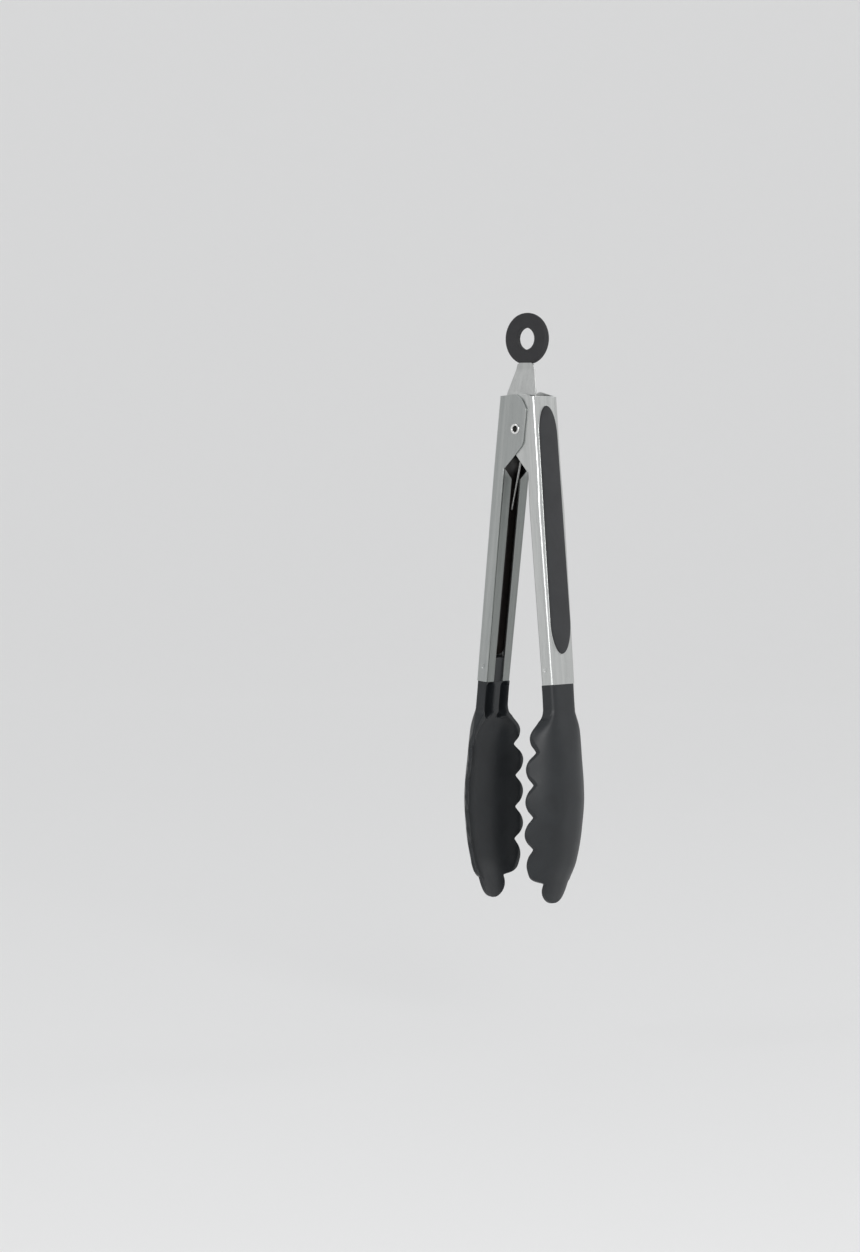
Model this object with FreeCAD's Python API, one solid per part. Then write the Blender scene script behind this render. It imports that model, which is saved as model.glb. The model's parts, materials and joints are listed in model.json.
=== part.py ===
import FreeCAD, Part
import os
from math import acos, atan2, cos, degrees, hypot, pi, radians, sin

# Spring loaded kitchen tongs, in millimetres.
# Origin: centre of the hang ring's hole. +Z is up, and the hinge axis is parallel to Y.
# The inner arm is on the +X side and the outer arm, whose ears lie outside, is on the -X side.

# Driving dimensions
PIN_Z = -41.0            # hinge axis below the ring's hole, tongs at rest
MID_Y = 1.8              # middle plane of the arms, from the ring's middle plane
REST_ANGLE = 5.5         # degrees that each arm stands away from the middle plane at rest
SHEET = 0.8              # thickness of the arms' stainless sheet
ARM_END = -117.0         # lower end of the folded channel, from the hinge axis
TIP_END = -216.5         # tip of the moulded head, from the hinge axis

RING_HOLE_R = 5.0
RING_OUTER_R = 11.8
RING_THICK = 3.4
RING_FLAT = -11.2        # level of the flat under the ring
RING_EDGE_R = 1.1

# Arm channel: X is outward from the hinge axis, Z is along the arm, Y is across it
BACK = 10.8              # outer face of the back
FOLD = 4.6               # outer face of the folded lips
SLOT_HALF = 3.35         # half the gap between the lips
BACK_BEND_R = 1.5
FOLD_BEND_R = 1.0
INNER_BEND_R = 0.4
END_HALF = 8.8           # half width of both arms at the lower end
OUTER_NOTCH_Z = -18.5    # where the outer ears' notch meets the fold
INNER_NOTCH_Z = -19.9    # the same on the inner ears
LIP_SLOPE = 4.9          # drop of the lips' upper edges from the fold to the slot

OUTER_EAR_HALF = 10.0    # half width over the outer ears
EAR_GAP = 0.1            # between an outer ear and the inner ear beside it
EAR_INNER_EDGE = -5.2
BACK_TOP = 13.7

# Hinge
RIVET_R = 2.1
RIVET_HOLE_R = 1.3
RIVET_RIM_R = 2.5
EAR_HOLE_R = RIVET_R + 0.06
SLEEVE_R = 2.5
SPRING_WIRE_R = 0.55
SPRING_MEAN_R = 3.3
SPRING_TURNS = 4
SPRING_NEAR_Y = -2.6
SPRING_FAR_Y = 2.6
SPRING_FOOT = (7.6, -38.0)   # where a leg ends in its arm, X and Z from the hinge axis

# Pull tab, Y from the middle plane of the arms
TAB_THICK = 0.8
TAB_Y = -5.5             # its middle plane beside the spring
TAB_TOP_Y = -2.6         # its middle plane inside the ring
TAB_TRAVEL_IN = 11.9     # from rest to arms fully open
TAB_TRAVEL_OUT = 5.7     # from rest to heads closed
TAB_SLOT_HALF = SLEEVE_R + 0.25
TAB_CRANK = (15.5, 27.0)     # heights from the pin between which it steps over
# Half widths and heights from the pin, from the shoulder by the ring down to the foot
TAB_SIDE = ((4.5, 29.4, 0.5), (7.9, 17.0, 1.5), (9.5, 2.5, 3.0), (6.0, -11.0, 3.0))
TAB_NECK_HALF = 3.4          # half width inside the ring
TAB_NECK_TOP = 34.2

# Grip pads
GRIP_TOP = 9.6
GRIP_BOTTOM = -103.2
GRIP_HALF_TOP = 6.6
GRIP_HALF_BOTTOM = 7.3
GRIP_PROUD = 0.9
GRIP_END = 2.1           # how much longer than round the pad's ends are
BACKING_THICK = 1.6
BACKING_TOP = -14.0
BACKING_BOTTOM = -105.0
BACKING_HALF_MOST = 8.0
RIB_HALF = 1.2
RIB_DEEP = 1.0
RIB_SHORT_TOP = 30.0     # how far the rib stays short of the plate's ends
RIB_SHORT_BOTTOM = 4.0

# Head
STEM_TOP = -106.0
DIMPLE_Z = -110.0
DIMPLE_X = 7.4
DIMPLE_R = 1.8
DIMPLE_DEEP = 0.45
SHELL = 1.6              # wall of the bowl, measured outward
HOLLOW_TOP = -131.0      # upper end of the bowl's hollow
RAMP_END = -148.0        # where the ramp from the neck runs out into the bowl
RAMP_THICK = 5.2
FIT = 0.05               # play between pieces that are fastened together
SCALLOP_DEEP = 3.7
# Heights, back, rim, half width and squareness of the head's sections
HEAD_SECTIONS = (
    (-117.0, 10.8, 4.6, 8.8, 1.0),
    (-128.0, 10.8, 4.5, 8.9, 0.9),
    (-139.8, 11.4, 2.4, 17.3, 0.25),
    (-154.4, 11.7, 1.5, 20.5, 0.0),
    (-169.0, 11.1, 0.7, 21.4, 0.0),
    (-183.6, 8.9, -1.4, 20.8, 0.0),
    (-198.2, 5.4, -3.5, 18.2, 0.0),
    (-207.0, 1.2, -4.4, 14.0, 0.0),
    (TIP_END, -2.8, -5.3, 9.5, 0.0),
)
SQUARENESS = 7.0         # how sharp the neck's corners are
FULLNESS = 2.6           # how full the bowl's curve is
NECK_FLARE = ((9.1, -128.8), (9.75, -131.4), (11.6, -133.2))   # half width and height
NOSE_ROOT = (8.2, -207.0)
POCKET_NEAR = 2.4        # the neck's two pockets, either side of a middle web
POCKET_FAR = 8.0
POCKET_TOP = -117.6
POCKET_END = -134.0

V = FreeCAD.Vector
Y_AXIS = V(0, 1, 0)
FAR = 60.0               # reach of a cutting solid past what it cuts


def rounded_wire(corners):
    """Closed wire through corners given as (point, radius), with tangent arcs."""
    edges = []
    ends = []
    count = len(corners)
    for i in range(count):
        point, radius = corners[i]
        before = corners[i - 1][0]
        after = corners[(i + 1) % count][0]
        to_before = (before - point).normalize()
        to_after = (after - point).normalize()
        if radius == 0:
            ends.append((point, None, point))
            continue
        half = to_before.getAngle(to_after) / 2
        reach = radius / (sin(half) / cos(half))
        bisector = (to_before + to_after).normalize()
        middle = point + bisector * (radius / sin(half) - radius)
        ends.append((point + to_before * reach, middle, point + to_after * reach))
    for i in range(count):
        start, middle, stop = ends[i]
        if middle is not None:
            edges.append(Part.Arc(start, middle, stop).toShape())
        following = ends[(i + 1) % count][0]
        if (following - stop).Length > 1e-6:
            edges.append(Part.LineSegment(stop, following).toShape())
    return Part.Wire(edges)


def prism(corners, direction):
    """Solid swept from a rounded outline along a direction."""
    return Part.Face(rounded_wire(corners)).extrude(direction)


def side_prism(outline, low_y, high_y):
    """Solid from an outline of (x, z, radius), between two Y planes."""
    corners = [(V(x, low_y, z), r) for x, z, r in outline]
    return prism(corners, V(0, high_y - low_y, 0))


def front_prism(outline, low_x, high_x):
    """Solid from an outline of (y, z, radius), between two X planes."""
    corners = [(V(low_x, y, z), r) for y, z, r in outline]
    return prism(corners, V(high_x - low_x, 0, 0))


def box(low, high):
    return Part.makeBox(high[0] - low[0], high[1] - low[1], high[2] - low[2], V(*low))


def y_cylinder(radius, low_y, high_y):
    return Part.makeCylinder(radius, high_y - low_y, V(0, low_y, 0), Y_AXIS)


def smooth(rows, z):
    """Values between section rows at height z, along a smooth curve through the rows."""
    heights = [row[0] for row in rows]
    i = max(k for k in range(len(rows) - 1) if z <= heights[k] + 1e-9)
    step = heights[i + 1] - heights[i]
    t = (z - heights[i]) / step
    values = []
    for column in range(1, len(rows[0])):
        a = rows[i][column]
        b = rows[i + 1][column]
        slopes = []
        for k in (i, i + 1):
            if k == 0 or k == len(rows) - 1:
                near = rows[max(k - 1, 0)], rows[min(k + 1, len(rows) - 1)]
                slopes.append((near[1][column] - near[0][column]) / (near[1][0] - near[0][0]))
                continue
            left = (rows[k][column] - rows[k - 1][column]) / (heights[k] - heights[k - 1])
            right = (rows[k + 1][column] - rows[k][column]) / (heights[k + 1] - heights[k])
            slopes.append(2 * left * right / (left + right) if left * right > 0 else 0.0)
        h1 = (1 + 2 * t) * (1 - t) ** 2
        h2 = t * (1 - t) ** 2
        h3 = t * t * (3 - 2 * t)
        h4 = t * t * (t - 1)
        values.append(h1 * a + h2 * step * slopes[0] + h3 * b + h4 * step * slopes[1])
    return values


def place(shape, side):
    """Turn an arm-aligned shape to its rest angle. side is 1 for inner, -1 for outer."""
    if side < 0:
        shape = shape.mirror(V(0, 0, 0), V(1, 0, 0))
    shape = shape.copy()
    shape.rotate(V(0, 0, 0), Y_AXIS, -side * REST_ANGLE)
    shape.translate(V(0, MID_Y, PIN_Z))
    return shape


def ears_outline(rise, notch):
    """Side view of an ear, from the back round the top to the notch."""
    return (
        (BACK + 1, notch, 0),
        (BACK + 1, BACK_TOP + 0.1, 0),
        (BACK - 1.5, BACK_TOP + 0.4, 0),
        (1.0, BACK_TOP + 2.0 + rise, 3.0),
        (-2.3, BACK_TOP + 0.1 + rise, 6.0),
        (EAR_INNER_EDGE, 9.4 + rise / 2, 0.8),
        (EAR_INNER_EDGE + 0.2, -6.6, 6.0),
        (FOLD, notch, 0),
    )


def channel_wire(half, z):
    """Closed section of the folded channel with its two lips."""
    inner = half - SHEET
    outer_side = [
        (V(FOLD, SLOT_HALF, z), 0), (V(FOLD, half, z), FOLD_BEND_R),
        (V(BACK, half, z), BACK_BEND_R), (V(BACK, -half, z), BACK_BEND_R),
        (V(FOLD, -half, z), FOLD_BEND_R), (V(FOLD, -SLOT_HALF, z), 0),
    ]
    lip = FOLD + SHEET
    back = BACK - SHEET
    inner_side = [
        (V(lip, -SLOT_HALF, z), 0), (V(lip, -inner, z), INNER_BEND_R),
        (V(back, -inner, z), BACK_BEND_R - SHEET), (V(back, inner, z), BACK_BEND_R - SHEET),
        (V(lip, inner, z), INNER_BEND_R), (V(lip, SLOT_HALF, z), 0),
    ]
    return rounded_wire(outer_side + inner_side)


def half_width(stations, z):
    """Half width of an arm between its stations of (z, half width)."""
    for (high_z, high), (low_z, low) in zip(stations, stations[1:]):
        if low_z <= z <= high_z:
            return high + (low - high) * (z - high_z) / (low_z - high_z)
    return stations[0][1]


def grip_outline(grow):
    """Front view of a grip pad: a long pill with elliptical ends, as one closed curve."""
    top, bottom = GRIP_TOP + grow, GRIP_BOTTOM - grow
    upper, lower = GRIP_HALF_TOP + grow, GRIP_HALF_BOTTOM + grow
    top_z, bottom_z = top - upper * GRIP_END, bottom + lower * GRIP_END
    points = []
    steps = 8
    for i in range(steps + 1):
        turn = pi * i / steps
        points.append((upper * cos(turn), top_z + upper * GRIP_END * sin(turn)))
    points.append((-(upper + lower) / 2, (top_z + bottom_z) / 2))
    for i in range(steps + 1):
        turn = pi + pi * i / steps
        points.append((lower * cos(turn), bottom_z + lower * GRIP_END * sin(turn)))
    points.append(((upper + lower) / 2, (top_z + bottom_z) / 2))
    curve = Part.BSplineCurve()
    curve.interpolate([V(BACK - SHEET, y, z) for y, z in points], PeriodicFlag=True)
    return Part.Face(Part.Wire(curve.toShape()))


def make_arm(stations, rise):
    """Folded channel, ears, hinge holes, grip window and the dimples that hold the head."""
    ear_half = stations[0][1]
    notch = stations[1][0]
    inner = ear_half - SHEET
    u_shape = [
        (V(-8, ear_half, notch), 0), (V(BACK, ear_half, notch), BACK_BEND_R),
        (V(BACK, -ear_half, notch), BACK_BEND_R), (V(-8, -ear_half, notch), 0),
        (V(-8, -inner, notch), 0), (V(BACK - SHEET, -inner, notch), BACK_BEND_R - SHEET),
        (V(BACK - SHEET, inner, notch), BACK_BEND_R - SHEET), (V(-8, inner, notch), 0),
    ]
    ears = prism(u_shape, V(0, 0, FAR)).common(side_prism(ears_outline(rise, notch), -FAR, FAR))
    wires = [channel_wire(half, z) for z, half in stations[1:]]
    arm = ears.fuse(Part.makeLoft(wires, True, True))
    throat = (
        (-inner - FIT, notch + FAR, 0), (-inner - FIT, notch, 0),
        (-SLOT_HALF, notch - LIP_SLOPE, 0), (SLOT_HALF, notch - LIP_SLOPE, 0),
        (inner + FIT, notch, 0), (inner + FIT, notch + FAR, 0),
    )
    arm = arm.cut(front_prism(throat, -FAR, FOLD + SHEET))
    arm = arm.cut(y_cylinder(EAR_HOLE_R, -FAR, FAR))
    arm = arm.cut(grip_outline(FIT).extrude(V(2 * SHEET, 0, 0)))
    half = half_width(stations, DIMPLE_Z)
    for side in (-1, 1):
        middle = half + DIMPLE_R - DIMPLE_DEEP
        pushed = Part.makeSphere(DIMPLE_R, V(DIMPLE_X, side * (middle - SHEET), DIMPLE_Z))
        keep_low = min(side * (half - 2 * SHEET), side * (half - SHEET / 2))
        keep = box((0, keep_low, DIMPLE_Z - 4), (BACK, keep_low + 1.5 * SHEET, DIMPLE_Z + 4))
        arm = arm.fuse(pushed.common(keep))
        arm = arm.cut(Part.makeSphere(DIMPLE_R, V(DIMPLE_X, side * middle, DIMPLE_Z)))
    return arm.removeSplitter()


def make_grip():
    """Soft pad that fills the window in the back and stands a little proud, with a soft edge."""
    pad = grip_outline(0).extrude(V(SHEET + GRIP_PROUD, 0, 0))
    crown_edge = [e for e in pad.Edges if e.BoundBox.XMin > BACK + GRIP_PROUD / 2]
    return pad.makeFillet(GRIP_PROUD * 0.8, crown_edge)


def make_backing(stations):
    """Plate inside the channel behind the pad, a little wider than the window."""
    outline = []
    for z in (BACKING_TOP, BACKING_BOTTOM):
        outline.append((min(half_width(stations, z) - SHEET - BACK_BEND_R / 2,
                            BACKING_HALF_MOST), z))
    (top_half, top), (bottom_half, bottom) = outline
    corners = (
        (-top_half, top, 4.0), (-bottom_half, bottom, 4.0),
        (bottom_half, bottom, 4.0), (top_half, top, 4.0),
    )
    back = BACK - SHEET
    plate = front_prism(corners, back - BACKING_THICK, back)
    rib_top, rib_bottom = top - RIB_SHORT_TOP, bottom + RIB_SHORT_BOTTOM
    rib = front_prism(((-RIB_HALF, rib_top, RIB_DEEP), (-RIB_HALF, rib_bottom, RIB_DEEP),
                       (RIB_HALF, rib_bottom, RIB_DEEP), (RIB_HALF, rib_top, RIB_DEEP)),
                      back - BACKING_THICK - RIB_DEEP, back - BACKING_THICK)
    return plate.fuse(rib).removeSplitter()


def head_section(z, sink):
    """Section of the head at height z. sink moves the cavity's section inward from the wall."""
    back, rim, half, square = smooth(HEAD_SECTIONS, z)
    depth = back - rim
    points = []
    steps = 9
    for i in range(-steps, steps + 1):
        t = i / steps
        sign = 1 if t >= 0 else -1
        turn = abs(t) * pi / 2
        box_y = sign * sin(turn) ** (2 / SQUARENESS)
        box_x = cos(turn) ** (2 / SQUARENESS) if abs(t) < 1 else 0.0
        bowl_x = 1 - abs(t) ** FULLNESS
        y = (square * box_y + (1 - square) * t) * (half - 0.6 * sink)
        x = rim + depth * (square * box_x + (1 - square) * bowl_x) - sink
        points.append(V(x, y, z))
    curve = Part.BSplineCurve()
    curve.interpolate(points)
    closing = Part.LineSegment(points[-1], points[0])
    return Part.Wire([curve.toShape(), closing.toShape()])


def hollow_depth(z):
    """Wall left behind the cavity: the plain shell, thickening to a ramp below the neck."""
    rise = max(0.0, (z - RAMP_END) / (HOLLOW_TOP - RAMP_END))
    return SHELL + RAMP_THICK * rise * rise


def head_heights(start, stop, step):
    count = int(round(abs(stop - start) / step))
    return [start + (stop - start) * i / count for i in range(count + 1)]


def scallop(start, tip, stop):
    """Points along one scallop, a wave with a broad tip that drops steeply to the nose."""
    points = []
    steps = 4
    for i in range(-steps, steps + 1):
        low_y, low_z = start if i < 0 else stop
        along = abs(i) / steps
        turn = along * pi / 2
        fall = (1 - cos(turn) + sin(turn) ** 2) / 2
        if (low_y, low_z) == NOSE_ROOT:
            fall = along ** 3
        points.append((tip[0] + (low_y - tip[0]) * fall, tip[1] + (low_z - tip[1]) * along))
    return points


def scallop_outline():
    """Front outline of the head: neck, shoulder, five scallops a side and the round nose."""
    tips = [(row[3], row[0]) for row in HEAD_SECTIONS[2:7]]
    valleys = []
    for (_, upper_z), (_, lower_z) in zip(tips, tips[1:]):
        z = (upper_z + lower_z) / 2
        valleys.append((smooth(HEAD_SECTIONS, z)[2] - SCALLOP_DEEP, z))
    joints = [NECK_FLARE[-1]] + valleys + [NOSE_ROOT]
    edges = []

    def at(y, z, side):
        return V(-FAR, side * y, z)

    neck = NECK_FLARE[0][0]
    for side in (-1, 1):
        flare = [at(y, z, side) for y, z in NECK_FLARE]
        edges.append(Part.LineSegment(at(neck, ARM_END + 1, side), flare[0]))
        edges.append(Part.Arc(*flare))
        for start, tip, stop in zip(joints, tips, joints[1:]):
            curve = Part.BSplineCurve()
            curve.interpolate([at(y, z, side) for y, z in scallop(start, tip, stop)])
            edges.append(curve)
    edges.append(Part.LineSegment(at(neck, ARM_END + 1, -1), at(neck, ARM_END + 1, 1)))
    edges.append(Part.Arc(at(*NOSE_ROOT, -1), at(0, TIP_END, 1), at(*NOSE_ROOT, 1)))
    return Part.Face(Part.Wire(Part.__sortEdges__([e.toShape() for e in edges])))


def stem_wire(half, z):
    """Section of the stem that fills the channel behind the lips."""
    inner = half - SHEET - FIT
    front, back = FOLD + SHEET + FIT, BACK - SHEET - FIT
    corner = BACK_BEND_R - SHEET + 0.1
    return rounded_wire([(V(front, -inner, z), corner), (V(front, inner, z), corner),
                         (V(back, inner, z), corner), (V(back, -inner, z), corner)])


def make_head(stations):
    """Nylon head: bowed shell with scalloped rims, neck with two pockets, and its stem."""
    outer = Part.makeLoft([head_section(z, 0) for z in head_heights(ARM_END, TIP_END, 5.5)], True)
    levels = head_heights(HOLLOW_TOP, TIP_END, 5.0)
    hollow = Part.makeLoft([head_section(z, hollow_depth(z)) for z in levels], True)
    head = outer.cut(hollow)
    head = head.common(scallop_outline().extrude(V(2 * FAR, 0, 0)))
    for side in (-1, 1):
        near, far = sorted((side * POCKET_NEAR, side * POCKET_FAR))
        pocket = ((near, POCKET_TOP, 1.5), (near, POCKET_END, 2.5),
                  (far, POCKET_END, 2.5), (far, POCKET_TOP, 1.5))
        head = head.cut(front_prism(pocket, -FAR, BACK - SHELL))
    stem = Part.makeLoft([stem_wire(half_width(stations, STEM_TOP), STEM_TOP),
                          stem_wire(END_HALF, ARM_END - 1)], True, True)
    for side in (-1, 1):
        middle = half_width(stations, DIMPLE_Z) - SHEET + DIMPLE_R - DIMPLE_DEEP
        stem = stem.cut(Part.makeSphere(DIMPLE_R, V(DIMPLE_X, side * middle, DIMPLE_Z)))
    return head.fuse(stem)


def make_rivet():
    """Hollow rivet, revolved about Y, with a rolled rim outside each outer ear."""
    seat = OUTER_EAR_HALF + 0.05
    roll = seat + 0.6
    half = [(RIVET_HOLE_R, roll - 0.25), (RIVET_HOLE_R + 0.35, roll), (RIVET_RIM_R - 0.3, roll),
            (RIVET_RIM_R, roll - 0.3), (RIVET_RIM_R, seat), (RIVET_R, seat)]
    outline = [V(r, y, 0) for r, y in half]
    outline += [V(r, -y, 0) for r, y in reversed(half)]
    wire = Part.makePolygon(outline + outline[:1])
    return Part.Face(wire).revolve(V(0, 0, 0), Y_AXIS, 360)


def make_sleeve(reach):
    return y_cylinder(SLEEVE_R, -reach, reach).cut(y_cylinder(RIVET_R, -reach, reach))


def wire_rod(start, stop):
    run = stop - start
    return Part.makeCylinder(SPRING_WIRE_R, run.Length, start, run)


def make_spring():
    """Torsion spring: four turns on the sleeve and one straight leg through each arm's slot."""
    foot_x, foot_z = SPRING_FOOT
    rest = radians(REST_ANGLE)
    foot = V(foot_x * cos(rest) - foot_z * sin(rest), 0, foot_x * sin(rest) + foot_z * cos(rest))
    start = atan2(foot.z, foot.x) + acos(SPRING_MEAN_R / hypot(foot.x, foot.z))
    sweep = degrees(pi - 2 * start) + 360 * SPRING_TURNS
    length = SPRING_FAR_Y - SPRING_NEAR_Y
    helix = Part.makeHelix(length * 360 / sweep, length, SPRING_MEAN_R)
    section = Part.Wire(Part.makeCircle(SPRING_WIRE_R, V(SPRING_MEAN_R, 0, 0), V(0, 1, 0)))
    coil = Part.Wire(helix).makePipeShell([section], True, True)
    coil.rotate(V(0, 0, 0), V(1, 0, 0), -90)
    coil = coil.mirror(V(0, 0, 0), V(0, 0, 1))
    coil = coil.copy()
    coil.rotate(V(0, 0, 0), Y_AXIS, -degrees(start))
    coil.translate(V(0, SPRING_NEAR_Y, 0))
    spring = coil
    for side, y in ((1, SPRING_NEAR_Y), (-1, SPRING_FAR_Y)):
        root = V(side * SPRING_MEAN_R * cos(start), y, SPRING_MEAN_R * sin(start))
        tip = V(side * foot.x, y, foot.z)
        spring = spring.fuse([Part.makeSphere(SPRING_WIRE_R, root), wire_rod(root, tip),
                              Part.makeSphere(SPRING_WIRE_R, tip)])
    return spring


def make_tab():
    """Flat strap with a slot over the sleeve, cranked towards the middle under the ring."""
    shoulder_z = TAB_SIDE[0][1] + 0.6
    right = [(TAB_NECK_HALF, TAB_NECK_TOP, 1.2), (TAB_NECK_HALF, shoulder_z, 0), *TAB_SIDE]
    outline = right + [(-x, z, radius) for x, z, radius in reversed(right)]
    flat = side_prism(outline, -FAR, FAR)
    half = TAB_THICK / 2
    crank_low, crank_high = TAB_CRANK
    path = ((TAB_Y, -FAR), (TAB_Y, crank_low), (TAB_TOP_Y, crank_high), (TAB_TOP_Y, FAR))
    strip = [(y - half, z, 0 if i in (0, 3) else 4.0) for i, (y, z) in enumerate(path)]
    strip += [(y + half, z, 0 if i in (0, 3) else 4.0) for i, (y, z) in enumerate(path)][::-1]
    tab = flat.common(front_prism(strip, -FAR, FAR))
    clear = TAB_SLOT_HALF + 0.3
    slot = ((-TAB_SLOT_HALF, -TAB_TRAVEL_OUT - clear, TAB_SLOT_HALF - 0.01),
            (TAB_SLOT_HALF, -TAB_TRAVEL_OUT - clear, TAB_SLOT_HALF - 0.01),
            (TAB_SLOT_HALF, TAB_TRAVEL_IN + clear, TAB_SLOT_HALF - 0.01),
            (-TAB_SLOT_HALF, TAB_TRAVEL_IN + clear, TAB_SLOT_HALF - 0.01))
    return tab.cut(side_prism(slot, -FAR, TAB_Y + TAB_THICK))


def make_ring(tab):
    """Moulded ring with soft edges, flat underneath where the tab goes in."""
    half = RING_THICK / 2
    disc = Part.makeCylinder(RING_OUTER_R, RING_THICK, V(0, -half, 0), Y_AXIS)
    disc = disc.cut(box((-FAR, -FAR, -FAR), (FAR, FAR, RING_FLAT)))
    disc = disc.makeFillet(RING_EDGE_R, [e for e in disc.Edges if e.Length > 5])
    ring = disc.cut(y_cylinder(RING_HOLE_R, -half, half))
    rims = [e for e in ring.Edges if abs(e.Length - 2 * pi * RING_HOLE_R) < 0.1]
    ring = ring.makeFillet(RING_EDGE_R / 2, rims)
    return ring.cut(tab)


INNER_EAR_HALF = OUTER_EAR_HALF - SHEET - EAR_GAP
OUTER_STATIONS = ((0, OUTER_EAR_HALF), (OUTER_NOTCH_Z, OUTER_EAR_HALF), (-40.0, 9.8),
                  (ARM_END, END_HALF))
INNER_STATIONS = ((0, INNER_EAR_HALF), (INNER_NOTCH_Z, INNER_EAR_HALF), (-38.0, 9.8),
                  (ARM_END, END_HALF))

parts = {}
for name, side, stations, rise in (("outer", -1, OUTER_STATIONS, 0.0),
                                   ("inner", 1, INNER_STATIONS, 1.4)):
    parts[name + "_arm"] = place(make_arm(stations, rise), side)
    parts[name + "_grip"] = place(make_grip(), side)
    parts[name + "_grip_backing"] = place(make_backing(stations), side)
    parts[name + "_head"] = place(make_head(stations), side)

hinge_pieces = {
    "hinge_rivet": make_rivet(),
    "hinge_sleeve": make_sleeve(INNER_EAR_HALF - SHEET - EAR_GAP),
    "torsion_spring": make_spring(),
    "pull_tab": make_tab(),
}
for name, shape in hinge_pieces.items():
    shape.translate(V(0, MID_Y, PIN_Z))
    parts[name] = shape
parts["hang_ring"] = make_ring(parts["pull_tab"])

os.makedirs("parts", exist_ok=True)
for name, shape in parts.items():
    solids = shape.Solids
    bounds = shape.BoundBox
    print(f"{name}: solids {len(solids)}, valid {shape.isValid()}, volume {shape.Volume:.1f},"
          f" x {bounds.XMin:.1f}..{bounds.XMax:.1f}, y {bounds.YMin:.1f}..{bounds.YMax:.1f},"
          f" z {bounds.ZMin:.1f}..{bounds.ZMax:.1f}")
    if len(solids) == 1:
        shape = solids[0]
    shape.exportStep(f"parts/{name}.step")
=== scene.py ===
import json
from math import acos, atan2, ceil, cos, hypot, pi, radians, sin, sqrt, tau

import bmesh
import bpy
from mathutils import Matrix, Vector


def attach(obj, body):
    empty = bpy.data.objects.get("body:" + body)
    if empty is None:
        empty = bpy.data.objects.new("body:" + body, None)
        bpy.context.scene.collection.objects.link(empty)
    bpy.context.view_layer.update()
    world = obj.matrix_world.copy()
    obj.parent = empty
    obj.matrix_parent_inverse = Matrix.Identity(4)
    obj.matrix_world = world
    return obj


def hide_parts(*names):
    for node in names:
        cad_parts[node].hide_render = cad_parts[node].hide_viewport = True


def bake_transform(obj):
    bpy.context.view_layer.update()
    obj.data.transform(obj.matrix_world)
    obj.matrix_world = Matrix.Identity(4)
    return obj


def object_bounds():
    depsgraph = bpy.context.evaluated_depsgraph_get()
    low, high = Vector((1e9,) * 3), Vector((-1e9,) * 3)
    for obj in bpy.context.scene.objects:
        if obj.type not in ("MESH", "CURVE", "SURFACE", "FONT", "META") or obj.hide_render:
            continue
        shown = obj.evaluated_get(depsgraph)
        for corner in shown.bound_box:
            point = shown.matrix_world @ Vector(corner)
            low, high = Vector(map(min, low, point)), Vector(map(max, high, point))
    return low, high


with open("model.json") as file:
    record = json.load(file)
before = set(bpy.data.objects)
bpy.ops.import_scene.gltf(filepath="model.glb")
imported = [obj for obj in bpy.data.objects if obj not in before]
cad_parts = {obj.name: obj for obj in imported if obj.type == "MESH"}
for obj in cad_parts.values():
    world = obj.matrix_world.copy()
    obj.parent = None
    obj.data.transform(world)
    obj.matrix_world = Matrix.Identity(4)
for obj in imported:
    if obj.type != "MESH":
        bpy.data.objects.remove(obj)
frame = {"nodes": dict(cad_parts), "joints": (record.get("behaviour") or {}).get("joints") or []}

cad_box = [list(corner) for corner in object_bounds()]
nodes = frame["nodes"]

# ---------------------------------------------------------------------------
# Steel arms
# Two channels folded from 0.8 mm stainless sheet, their ears punched and lapped
# over each other at the hinge. The sheet keeps its lengthwise mill brushing, and
# its cut edges are tumbled smooth, so they catch the light.
# Their edges' colour is also painted paler, a painted highlight.
# ---------------------------------------------------------------------------

MM = 0.001
REST_ANGLE = radians(5.5)                 # each arm from the middle plane, at rest
hinge_joint = next(j for j in frame["joints"] if j["name"] == "outer_arm_hinge")
PIN = Vector(hinge_joint["pos_m"])
ARMS = (("outer", -1), ("inner", 1))      # names, and the side of the hinge they lie on
SHEET = 0.8                               # lengths in an arm's own frame are in millimetres
BACK = 10.8                               # outer face of the channel's back, from the pin
LIPS = 4.6                                # outer face of its folded lips
CHANNEL_END = -117.0
ARM_HALF_HIGH, ARM_HALF_LOW = (-40.0, 9.8), (CHANNEL_END, 8.8)   # height and half width


def add_node(tree, kind, inputs=None, **settings):
    """Add a shader node. Inputs are values or the sockets that feed them."""
    made = tree.nodes.new("ShaderNode" + kind)
    for name, value in settings.items():
        setattr(made, name, value)
    for name, value in (inputs or {}).items():
        if isinstance(value, bpy.types.NodeSocket):
            tree.links.new(value, made.inputs[name])
        else:
            made.inputs[name].default_value = value
    return made


def new_effect(name, inputs, outputs):
    """Start a shader node group with named sockets, and give its tree and its two end nodes."""
    tree = bpy.data.node_groups.new(name, "ShaderNodeTree")
    for label, (kind, value) in inputs.items():
        socket = tree.interface.new_socket(label, in_out="INPUT", socket_type="NodeSocket" + kind)
        if value is not None:
            socket.default_value = value
    for label, kind in outputs.items():
        tree.interface.new_socket(label, in_out="OUTPUT", socket_type="NodeSocket" + kind)
    return tree, tree.nodes.new("NodeGroupInput"), tree.nodes.new("NodeGroupOutput")


def use_effect(tree, effect, inputs):
    """Place a shader node group in a material."""
    made = tree.nodes.new("ShaderNodeGroup")
    made.node_tree = effect
    for name, value in inputs.items():
        if isinstance(value, bpy.types.NodeSocket):
            tree.links.new(value, made.inputs[name])
        else:
            made.inputs[name].default_value = value
    return made


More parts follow.
